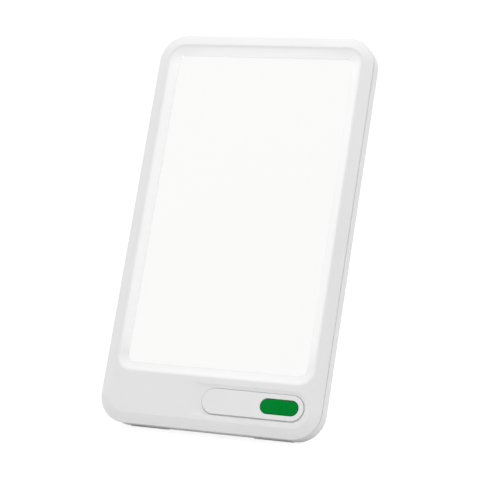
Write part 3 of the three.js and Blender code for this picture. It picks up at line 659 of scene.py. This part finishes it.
# %% Screw bosses, screw holes and the adapter's hole
screw_side = 69.6 * mm
screw_ups = [share * panel_high for share in (0.075, 0.52, 0.925)]
screw_places = [(side * screw_side, up) for up in screw_ups for side in (-1, 1)]
screw_head_radius = 1.8 * mm
boss_radius = 2.9 * mm
boss_top = -6.3 * mm
screw_hole_radius = 1.3 * mm
screw_hole_top = -5 * mm
counterbore_deep = 1.6 * mm
past_cover = cover_back - 2 * mm
adapter_place = (-44.8 * mm, plate_middle)
adapter_radius = 3.9 * mm


def peg(name, place, radius, low, high, steps=32):
    let_go()
    centre = (place[0], place[1], (low + high) / 2)
    bpy.ops.mesh.primitive_cylinder_add(vertices=steps, radius=radius, depth=high - low,
                                        location=centre)
    shape = bpy.context.object
    shape.name = name
    bpy.ops.object.transform_apply(location=True, rotation=True, scale=True)
    return shape


for place in screw_places:
    boss = peg("boss", place, boss_radius, cover_back + 1 * mm, boss_top)
    carve(rear_cover, boss, "UNION")
for place in screw_places:
    carve(rear_cover, peg("counterbore", place, screw_head_radius + gap, past_cover,
                          cover_back + counterbore_deep))
    carve(rear_cover, peg("hole", place, screw_hole_radius, past_cover, screw_hole_top, 20))
carve(rear_cover, peg("adapter_hole", adapter_place, adapter_radius + gap, past_cover,
                      cover_back + 4 * mm, 48))
print("cover faces:", len(rear_cover.data.polygons))

# %% [markdown]
# ## Feet and pads
#
# Rubber feet keep the lamp from sliding. The two under the bottom edge stand level on the
# table while the head leans, so their sockets are cut with an upright pill. Their edges
# are rounded, as moulded silicone always is.


# %% A long foot with round ends
def foot_body(name, node, spare, below, above):
    low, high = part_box(node)
    middle = (low.y + high.y) / 2
    wide = high.y - low.y + 2 * spare
    foot = pill_plate(name, low.x - spare, high.x + spare, middle, wide, low.z - below, 12)
    close_mesh()
    thicken(foot, high.z - low.z + below + above)
    return foot


for node in ("foot_pad_left", "foot_pad_right"):
    low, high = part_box(node)
    let_go()
    block = foot_body("foot_socket", node, gap, 2 * mm, gap)
    set_down(block, head_place.inverted())
    carve(rear_cover, block)
    foot = foot_body(node + "_moulding", node, 0, 0, 0)
    soften(foot, 0.35 * mm, angle=60, steps=3)
    smooth(foot, 40)
    dress(foot, "housing", [node], "foot")

soften(rear_cover, 0.25 * mm, angle=40, steps=2)
smooth(rear_cover, 35)
set_down(rear_cover, head_place)
dress(rear_cover, "housing", ["rear_cover"], "housing")

# %% [markdown]
# ## The fold-out leg
#
# The leg is a moulded plate with a barrel for the hinge pins, a grid of shallow panels on
# its inner face and a notch for a fingertip. It is modelled as it hangs from its hinge and
# then turned out by its open angle, so its foot meets the table where the CAD's does.

# %% Mould the leg
leg_recess = 1.3 * mm
leg_rib = 1.6 * mm
notch_wide = 19 * mm
notch_high = 12 * mm
pad_high = 5 * mm
pad_sole = 1.4 * mm
pad_thick = 3.5 * mm
pad_middle = -0.3 * mm
bar_thick = 1.3 * mm
bar_long = 14 * mm
floor_normal = Vector((0, -math.cos(leg_slant), math.sin(leg_slant)))

kickstand = leg_plate("kickstand_moulding", 0, leg_heel, leg_outer)
thicken(kickstand, leg_inner - leg_outer)
let_go()
bpy.ops.mesh.primitive_cylinder_add(vertices=40, radius=barrel_radius, depth=leg_top_wide,
                                    rotation=(0, math.pi / 2, 0))
barrel = bpy.context.object
bpy.ops.object.transform_apply(location=True, rotation=True, scale=True)
carve(kickstand, barrel, "UNION")
heel_normal = Vector((0, math.sin(leg_open), math.cos(leg_open)))
slice_off(kickstand, heel_normal * barrel_radius, heel_normal)
notch = rounded_plate("notch", (-notch_wide / 2, -leg_reach - notch_high),
                      (notch_wide / 2, -leg_reach + notch_high), leg_outer - 1 * mm,
                      notch_wide / 2 * 0.9999)
close_mesh()
thicken(notch, 5 * mm)
carve(kickstand, notch)

# %% The panels between the leg's ribs
recess_low = -leg_reach + notch_high + 2 * leg_rib
recess_high = -barrel_radius - 2 * leg_rib
recess_pitch = (recess_high - recess_low) / 4
recess_far = leg_top_wide / 2 - 2 * leg_rib
for row in range(4):
    low = recess_low + row * recess_pitch + leg_rib / 2
    high = low + recess_pitch - leg_rib
    for near, far in ((-recess_far, -leg_rib / 2), (leg_rib / 2, recess_far)):
        recess = rounded_plate("recess", (near, low), (far, high), leg_inner - leg_recess,
                               3 * mm, 8)
        close_mesh()
        thicken(recess, 4 * mm)
        carve(kickstand, recess)

# %% Trim the leg over its pads and turn it out
slice_off(kickstand, floor_normal * (hinge.z - pad_high - gap), floor_normal)
for node in ("kickstand_pad_left", "kickstand_pad_right"):
    low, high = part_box(node)
    let_go()
    centre = ((low.x + high.x) / 2, -leg_reach, pad_middle)
    bpy.ops.mesh.primitive_cube_add(size=1, location=centre)
    tongue_bar = bpy.context.object
    tongue_bar.scale = (high.x - low.x - 3 * mm, bar_long, bar_thick)
    bpy.ops.object.transform_apply(location=True, rotation=True, scale=True)
    slice_off(tongue_bar, floor_normal * (hinge.z - pad_sole - gap), floor_normal)
    carve(kickstand, tongue_bar, "UNION")
soften(kickstand, 0.3 * mm, angle=40, steps=3)
smooth(kickstand, 35)
leg_place = head_place @ hinge_in_head @ Matrix.Rotation(leg_open, 4, "X")
set_down(kickstand, leg_place)
dress(kickstand, "leg", ["kickstand"], "housing")

# %% The rubber pads on the leg's foot
for node in ("kickstand_pad_left", "kickstand_pad_right"):
    low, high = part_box(node)
    let_go()
    centre = ((low.x + high.x) / 2, -leg_reach, pad_middle)
    bpy.ops.mesh.primitive_cube_add(size=1, location=centre)
    pad = bpy.context.object
    pad.name = node + "_moulding"
    pad.scale = (high.x - low.x, 6 * pad_high, pad_thick)
    bpy.ops.object.transform_apply(location=True, rotation=True, scale=True)
    slice_off(pad, floor_normal * hinge.z, floor_normal)
    slice_off(pad, floor_normal * (hinge.z - pad_high), -floor_normal)
    close_seams(pad)
    soften(pad, 0.4 * mm, angle=40, steps=3)
    smooth(pad, 40)
    set_down(pad, leg_place)
    dress(pad, "leg", [node], "foot")

# %% [markdown]
# ## Screws
#
# Every screw has the same low domed head with a cross recess. The first is a cylinder
# whose top is inset and raised ring by ring, and the cross is cut with two tapered bars.
# The others are copies, each with its own mesh, and each is turned a little further,
# because no screwdriver stops twice at the same angle.


# %% One screw head, pointing up
def screw_head(radius, height, shank):
    let_go()
    bpy.ops.mesh.primitive_cylinder_add(vertices=40, radius=1 * mm, depth=shank,
                                        location=(0, 0, -shank / 2))
    screw = bpy.context.object
    let_go()
    bpy.ops.mesh.primitive_cylinder_add(vertices=40, radius=radius, depth=height / 2,
                                        location=(0, 0, height / 4))
    head = bpy.context.object
    bpy.ops.object.transform_apply(location=True, rotation=True, scale=True)
    open_mesh(head)
    pick_faces(head, lambda face: face.normal.z > 0.9)
    stations = [(0, 0)]
    for i in range(1, 7):
        share = i / 6
        stations.append((share * radius * 0.55, math.sin(share * math.pi / 2) * height / 2))
    walk_in(stations)
    close_mesh()
    hold(screw)
    bpy.ops.object.transform_apply(location=True, rotation=True, scale=True)
    carve(screw, head, "UNION")
    for angle in (0, math.pi / 2):
        carve(screw, cross_bar(radius, height, angle))
    soften(screw, 0.05 * mm, angle=45, steps=1)
    smooth(screw, 35)
    return screw


def cross_bar(radius, height, angle):
    let_go()
    bpy.ops.mesh.primitive_cube_add(size=1, location=(0, 0, height * 0.95))
    bar = bpy.context.object
    bar.scale = (radius * 1.15, radius * 0.2, height)
    bpy.ops.object.transform_apply(location=True, rotation=True, scale=True)
    open_mesh(bar, "VERT")
    pick_corners(bar, lambda corner: corner.co.z < height * 0.9)
    bpy.ops.transform.resize(value=(0.45, 0.8, 1))
    close_mesh()
    bar.rotation_euler.z = angle
    bpy.ops.object.transform_apply(location=True, rotation=True, scale=True)
    return bar


# %% Copy it to every screw
def place_screw(pattern, node, where, spin):
    hold(pattern)
    bpy.ops.object.duplicate(linked=False)
    screw = bpy.context.object
    screw.name = node + "_turned"
    set_down(screw, head_place @ where @ Matrix.Rotation(spin, 4, "Z"))
    dress(screw, "housing", [node], "screw")


head_seat = cover_back + 1.3 * mm
screw_tip = -3 * mm
board_top = -4 * mm
board_screw_side = 59.52 * mm
board_screw_up = 12.5 * mm
cover_pattern = screw_head(screw_head_radius, 1.2 * mm, screw_tip - head_seat)
board_pattern = screw_head(screw_head_radius, 1 * mm, 5 * mm)
flip = Matrix.Rotation(math.pi, 4, "X")
for i, (across, up) in enumerate(screw_places):
    where = Matrix.Translation((across, up, head_seat)) @ flip
    place_screw(cover_pattern, "cover_screw_" + str(i + 1), where, 0.7 + 1.9 * i)
for i, side in enumerate((-1, 1)):
    where = Matrix.Translation((side * board_screw_side, board_screw_up, board_top + gap))
    place_screw(board_pattern, "board_screw_" + str(i + 1), where, 0.4 + 2.3 * i)
bpy.data.objects.remove(cover_pattern)
bpy.data.objects.remove(board_pattern)

# %% [markdown]
# ## Adapter socket
#
# The socket's round nose fills the hole in the cover. Its mouth is chamfered and its
# centre pin is rounded, so that a plug finds its way in.

# %% The socket and its pin
socket_half = 4.5 * mm
socket_back = -12.3 * mm
socket_front = -1.2 * mm
socket_shoulder = -10.4 * mm
bore_radius = 2.85 * mm
pin_radius = 1.05 * mm
pin_tip = -11.1 * mm
pin_root = -3 * mm
low = (adapter_place[0] - socket_half, adapter_place[1] - socket_half)
high = (adapter_place[0] + socket_half, adapter_place[1] + socket_half)
dc_socket = rounded_plate("dc_socket_moulding", low, high, socket_shoulder, 0.4 * mm, 3)
close_mesh()
thicken(dc_socket, socket_front - socket_shoulder)
carve(dc_socket, peg("nose", adapter_place, adapter_radius, socket_back,
                     socket_shoulder + 1 * mm, 48), "UNION")
carve(dc_socket, peg("bore", adapter_place, bore_radius, socket_back - 1 * mm,
                     socket_front - 1.5 * mm, 48))
soften(dc_socket, 0.25 * mm, angle=50, steps=2)
smooth(dc_socket, 40)
set_down(dc_socket, head_place)
dress(dc_socket, "housing", ["dc_socket"], "socket")

centre_pin = peg("dc_socket_pin_turned", adapter_place, pin_radius, pin_tip, pin_root, 32)
soften(centre_pin, 0.4 * mm, angle=50, steps=4)
smooth(centre_pin, 40)
set_down(centre_pin, head_place)
dress(centre_pin, "housing", ["dc_socket_pin"], "contact")
dress(front_frame, "housing", ["front_frame"], "housing")

# %% [markdown]
# ## Shared effects
#
# Two effects are used by more than one material, so each is a node group. The first is
# the fine grain that a mould leaves in plastic: it gives a height for the bump and a
# slight change of gloss. The second is the slow unevenness of any large moulding.


# %% Helpers for node trees
def link(tree, source, target):
    tree.links.new(source, target)


def new_group(name, inputs, outputs):
    group = bpy.data.node_groups.new(name, "ShaderNodeTree")
    for label, kind, value in inputs:
        socket = group.interface.new_socket(name=label, in_out="INPUT", socket_type=kind)
        socket.default_value = value
    for label, kind in outputs:
        group.interface.new_socket(name=label, in_out="OUTPUT", socket_type=kind)
    enter = group.nodes.new("NodeGroupInput")
    leave = group.nodes.new("NodeGroupOutput")
    return group, enter, leave


# %% Moulded grain
def make_grain():
    group, enter, leave = new_group(
        "moulded grain",
        [("Grain Scale", "NodeSocketFloat", 2500.0), ("Gloss Change", "NodeSocketFloat", 0.06),
         ("Roughness", "NodeSocketFloat", 0.4)],
        [("Height", "NodeSocketFloat"), ("Roughness", "NodeSocketFloat")])
    where = group.nodes.new("ShaderNodeTexCoord")
    fine = group.nodes.new("ShaderNodeTexNoise")
    fine.inputs["Detail"].default_value = 3
    fine.inputs["Roughness"].default_value = 0.6
    broad = group.nodes.new("ShaderNodeTexNoise")
    broad.inputs["Scale"].default_value = 35
    broad.inputs["Detail"].default_value = 2
    spread = group.nodes.new("ShaderNodeMath")
    spread.operation = "SUBTRACT"
    spread.inputs[1].default_value = 0.5
    change = group.nodes.new("ShaderNodeMath")
    change.operation = "MULTIPLY_ADD"
    link(group, where.outputs["Object"], fine.inputs["Vector"])
    link(group, where.outputs["Object"], broad.inputs["Vector"])
    link(group, enter.outputs["Grain Scale"], fine.inputs["Scale"])
    link(group, broad.outputs["Fac"], spread.inputs[0])
    link(group, spread.outputs[0], change.inputs[0])
    link(group, enter.outputs["Gloss Change"], change.inputs[1])
    link(group, enter.outputs["Roughness"], change.inputs[2])
    link(group, fine.outputs["Fac"], leave.inputs["Height"])
    link(group, change.outputs[0], leave.inputs["Roughness"])
    return group


# %% Slow colour change
def make_drift():
    group, enter, leave = new_group(
        "colour drift",
        [("Scale", "NodeSocketFloat", 14.0), ("Amount", "NodeSocketFloat", 0.03),
         ("Color", "NodeSocketColor", (0.8, 0.8, 0.8, 1))],
        [("Color", "NodeSocketColor")])
    where = group.nodes.new("ShaderNodeTexCoord")
    cloud = group.nodes.new("ShaderNodeTexNoise")
    cloud.inputs["Detail"].default_value = 2
    value = group.nodes.new("ShaderNodeMapRange")
    value.inputs["From Min"].default_value = 0.3
    value.inputs["From Max"].default_value = 0.7
    value.inputs["To Max"].default_value = 1
    low = group.nodes.new("ShaderNodeMath")
    low.operation = "SUBTRACT"
    low.inputs[0].default_value = 1
    tone = group.nodes.new("ShaderNodeHueSaturation")
    link(group, where.outputs["Object"], cloud.inputs["Vector"])
    link(group, enter.outputs["Scale"], cloud.inputs["Scale"])
    link(group, cloud.outputs["Fac"], value.inputs["Value"])
    link(group, enter.outputs["Amount"], low.inputs[1])
    link(group, low.outputs[0], value.inputs["To Min"])
    link(group, value.outputs["Result"], tone.inputs["Value"])
    link(group, enter.outputs["Color"], tone.inputs["Color"])
    link(group, tone.outputs["Color"], leave.inputs["Color"])
    return group


grain = make_grain()
drift = make_drift()
print("node groups:", grain.name, "and", drift.name)


# %% [markdown]
# ## Materials
#
# Every finish starts from the same moulded base, a Principled shader fed by the two
# groups. What differs is set on the shader's own sockets: the gloss coat of a solder
# mask, the metal of a screw, the soft light that passes through opal acrylic.


# %% A moulded finish
def moulded(name, color, roughness, bump=0.02, grain_scale=2500.0, change=0.02):
    material = bpy.data.materials.new(name)
    material.use_nodes = True
    tree = material.node_tree
    shader = tree.nodes["Principled BSDF"]
    texture = tree.nodes.new("ShaderNodeGroup")
    texture.node_tree = grain
    texture.inputs["Grain Scale"].default_value = grain_scale
    texture.inputs["Gloss Change"].default_value = 0.1
    texture.inputs["Roughness"].default_value = roughness
    shade = tree.nodes.new("ShaderNodeGroup")
    shade.node_tree = drift
    shade.inputs["Amount"].default_value = change
    shade.inputs["Color"].default_value = (*color, 1)
    relief = tree.nodes.new("ShaderNodeBump")
    relief.inputs["Strength"].default_value = bump
    relief.inputs["Distance"].default_value = 0.05 * mm
    link(tree, shade.outputs["Color"], shader.inputs["Base Color"])
    link(tree, texture.outputs["Roughness"], shader.inputs["Roughness"])
    link(tree, texture.outputs["Height"], relief.inputs["Height"])
    link(tree, relief.outputs["Normal"], shader.inputs["Normal"])
    return material


def set_shader(material, label, value):
    material.node_tree.nodes["Principled BSDF"].inputs[label].default_value = value


def coat(piece, material):
    piece.data.materials.clear()
    piece.data.materials.append(material)


def coat_nodes(names, material):
    for name in names:
        coat(frame["nodes"][name], material)


# %% Plastics of the housing
housing = moulded("white satin plastic", (0.86, 0.86, 0.86), 0.42)
set_shader(housing, "Specular IOR Level", 0.4)
for piece in bpy.data.objects:
    if piece.name.endswith("_moulding") and piece.get("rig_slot") == "housing":
        coat(piece, housing)
        print("white:", piece.name)

# %% The green button
green = moulded("green satin plastic", (0.0005, 0.239, 0.0305), 0.5, bump=0.05, change=0.06)
set_shader(green, "Specular IOR Level", 0.02)
coat(power_button, green)

# %% Rubber, screws and the socket
rubber = moulded("pale silicone rubber", (0.78, 0.78, 0.78), 0.7, bump=0.15,
                 grain_scale=1200)
black = moulded("black moulded plastic", (0.025, 0.025, 0.027), 0.5, bump=0.1)
steel = moulded("zinc plated steel", (0.55, 0.55, 0.57), 0.32, bump=0.05, change=0.1)
set_shader(steel, "Metallic", 1)
brass = moulded("plated brass", (0.7, 0.55, 0.25), 0.25, bump=0.02)
set_shader(brass, "Metallic", 1)
coat(dc_socket, black)
coat(centre_pin, brass)
for piece in list(bpy.data.objects):
    if piece.name.endswith("_turned") and "screw" in piece.name:
        coat(piece, steel)
    if piece.name.endswith("_moulding") and "pad" in piece.name:
        coat(piece, rubber)

# %% [markdown]
# The window is opal acrylic, lit from behind. A lit diffuser looks flat and even from
# every side, so most of what is seen is its own light, with a little of the room's light
# on top. That light also spills into the cove round the window, where the photograph
# shows it.

# %% The opal window
opal = moulded("opal acrylic", (0.08, 0.08, 0.08), 0.5, bump=0.0, change=0.01)
set_shader(opal, "Emission Color", (1, 1, 0.995, 1))
set_shader(opal, "Emission Strength", 0.844)
coat_nodes(["diffuser_panel"], opal)

# %% The pieces inside
clear = moulded("clear acrylic", (0.9, 0.94, 0.95), 0.08, bump=0.0)
set_shader(clear, "Transmission Weight", 1)
set_shader(clear, "IOR", 1.49)
prism = moulded("prism film", (0.85, 0.87, 0.89), 0.15, bump=0.1, grain_scale=600)
sheet = moulded("white reflector sheet", (0.92, 0.92, 0.92), 0.6)
foam = moulded("black foam", (0.03, 0.03, 0.03), 0.95, bump=0.4, grain_scale=1500)
folded = moulded("folded aluminium", (0.7, 0.71, 0.72), 0.35, bump=0.03)
set_shader(folded, "Metallic", 1)
mask = moulded("white solder mask", (0.85, 0.85, 0.8), 0.4)
board = moulded("green solder mask", (0.02, 0.14, 0.06), 0.3)
set_shader(board, "Coat Weight", 0.5)
wire = moulded("insulated wire", (0.75, 0.75, 0.75), 0.4)
coat_nodes(["light_guide"], clear)
coat_nodes(["prism_film"], prism)
coat_nodes(["reflector_sheet"], sheet)
coat_nodes(["light_seal"], foam)
coat_nodes(["light_tray", "capacitor_1", "capacitor_2"], folded)
coat_nodes(["led_strip_left", "led_strip_right"], mask)
coat_nodes(["control_board"], board)
coat_nodes(["driver_chip", "inductor", "switch_body", "switch_plunger"], black)
coat_nodes(["led_lead_left", "led_lead_right"], wire)
coat_nodes(["hinge_pin_left", "hinge_pin_right"], steel)

# %% [markdown]
# ## Camera
#
# The camera's place, turn and lens come from a fit of the panel's outline in the
# photograph: it stands to the right of the lamp, a little above it, and looks slightly
# down with no roll.

# %% Place the camera
camera_turn = math.radians(22.933)
camera_dip = math.radians(8.463)
camera_place = (0.48388, -1.14394, 0.30306)
camera_lens = 144.965
camera = bpy.data.objects.new("camera", bpy.data.cameras.new("camera"))
bpy.context.scene.collection.objects.link(camera)
camera.location = camera_place
camera.rotation_euler = (math.pi / 2 - camera_dip, 0, camera_turn)
camera.data.lens = camera_lens
camera.data.sensor_width = 36
camera.data.clip_end = 500
bpy.context.scene.camera = camera

# %% [markdown]
# ## Floor and light
#
# The photograph has a plain white ground. The floor is a real, pale surface for the light
# that reaches the lamp, but to the camera most of its white is its own, so it reads as
# clean white and still keeps a soft shadow. The world gives most of the light. A broad
# lamp overhead and a small one near the top brighten what faces up, one on the left evens
# out the front, and one on the right lights the side wall.


# %% Which rays see the plain ground
def seen_rays(tree):
    path = tree.nodes.new("ShaderNodeLightPath")
    some = tree.nodes.new("ShaderNodeMath")
    some.operation = "MAXIMUM"
    most = tree.nodes.new("ShaderNodeMath")
    most.operation = "MAXIMUM"
    link(tree, path.outputs["Is Camera Ray"], some.inputs[0])
    link(tree, path.outputs["Is Glossy Ray"], some.inputs[1])
    link(tree, some.outputs[0], most.inputs[0])
    link(tree, path.outputs["Is Transmission Ray"], most.inputs[1])
    return most.outputs[0]


# %% The floor
floor_own = 0.86
floor_lit = 0.28
floor_real = 0.6
floor_wide = 120
let_go()
bpy.ops.mesh.primitive_plane_add(size=floor_wide)
floor = bpy.context.object
floor.name = "floor"
ground = bpy.data.materials.new("plain ground")
ground.use_nodes = True
tree = ground.node_tree
tree.nodes.clear()
leave = tree.nodes.new("ShaderNodeOutputMaterial")
seen = tree.nodes.new("ShaderNodeAddShader")
lit = tree.nodes.new("ShaderNodeBsdfDiffuse")
lit.inputs["Color"].default_value = (floor_lit, floor_lit, floor_lit, 1)
own = tree.nodes.new("ShaderNodeEmission")
own.inputs["Strength"].default_value = floor_own
real = tree.nodes.new("ShaderNodeBsdfDiffuse")
real.inputs["Color"].default_value = (floor_real, floor_real, floor_real, 1)
choose = tree.nodes.new("ShaderNodeMixShader")
link(tree, lit.outputs[0], seen.inputs[0])
link(tree, own.outputs[0], seen.inputs[1])
link(tree, seen_rays(tree), choose.inputs[0])
link(tree, real.outputs[0], choose.inputs[1])
link(tree, seen.outputs[0], choose.inputs[2])
link(tree, choose.outputs[0], leave.inputs["Surface"])
coat(floor, ground)

# %% The world
world_fill = 1
world = bpy.data.worlds.new("studio")
bpy.context.scene.world = world
world.use_nodes = True
tree = world.node_tree
tree.nodes.clear()
leave = tree.nodes.new("ShaderNodeOutputWorld")
fill = tree.nodes.new("ShaderNodeBackground")
fill.inputs["Strength"].default_value = world_fill
shown = tree.nodes.new("ShaderNodeBackground")
shown.inputs["Color"].default_value = (1, 1, 1, 1)
choose = tree.nodes.new("ShaderNodeMixShader")
link(tree, seen_rays(tree), choose.inputs[0])
link(tree, fill.outputs[0], choose.inputs[1])
link(tree, shown.outputs[0], choose.inputs[2])
link(tree, choose.outputs[0], leave.inputs["Surface"])


# %% Broad lamps
lamp_aim = Vector((0, 0, 0.12))


def broad_lamp(name, place, size, power):
    light = bpy.data.lights.new(name, "AREA")
    light.shape = "DISK"
    light.size = size
    light.energy = power
    lamp = bpy.data.objects.new(name, light)
    bpy.context.scene.collection.objects.link(lamp)
    lamp.location = place
    lamp.visible_camera = False
    aim = lamp_aim - lamp.location
    lamp.rotation_euler = aim.to_track_quat("-Z", "Y").to_euler()


broad_lamp("overhead", (0, 0.9, 2.4), 0.8, 7.5)
broad_lamp("near top", (0, 0, 0.7), 0.5, 0.73)
broad_lamp("left side", (-2.0, -1.0, 1.2), 1.2, 4.9)
broad_lamp("right side", (2.2, 0.2, 0.9), 1.2, 6)

# %% [markdown]
# The real window is far brighter than white paper, and a screen can't show that. What can
# be shown is the light that it sheds on the cove round it, so a thin lamp lies just in
# front of it. The camera doesn't see it. A small gap round it keeps the foot of the cove
# from turning into a bright line. It stops short of the window's lower edge, because the
# cove there faces up and has the most of the room's light already. The cove at the upper
# edge faces down and has the least, so a narrow lamp there adds some.

# %% The window's own glow
glow_bright = 3.6
upper_bright = 2.4
upper_high = 10 * mm
glow_short = 7 * mm
glow_front = -0.45 * mm
glow_gap = 1 * mm
glow_wide = panel_wide - 2 * opening - 2 * glow_gap
window_low = chin + opening
glow_high = panel_high - opening - glow_gap


def glow_lamp(name, low, high, bright):
    light = bpy.data.lights.new(name, "AREA")
    light.shape = "RECTANGLE"
    light.size = glow_wide
    light.size_y = high - low
    light.energy = bright * math.pi * glow_wide * (high - low)
    glow = bpy.data.objects.new(name, light)
    bpy.context.scene.collection.objects.link(glow)
    glow.matrix_world = head_place @ Matrix.Translation((0, (low + high) / 2, glow_front)) @ flip
    glow.visible_camera = False
    glow.visible_glossy = False


glow_lamp("window glow", window_low + glow_short, glow_high, glow_bright)
glow_lamp("upper glow", glow_high - upper_high, glow_high, upper_bright)

# %% Plain view settings
bpy.context.scene.view_settings.view_transform = "Standard"
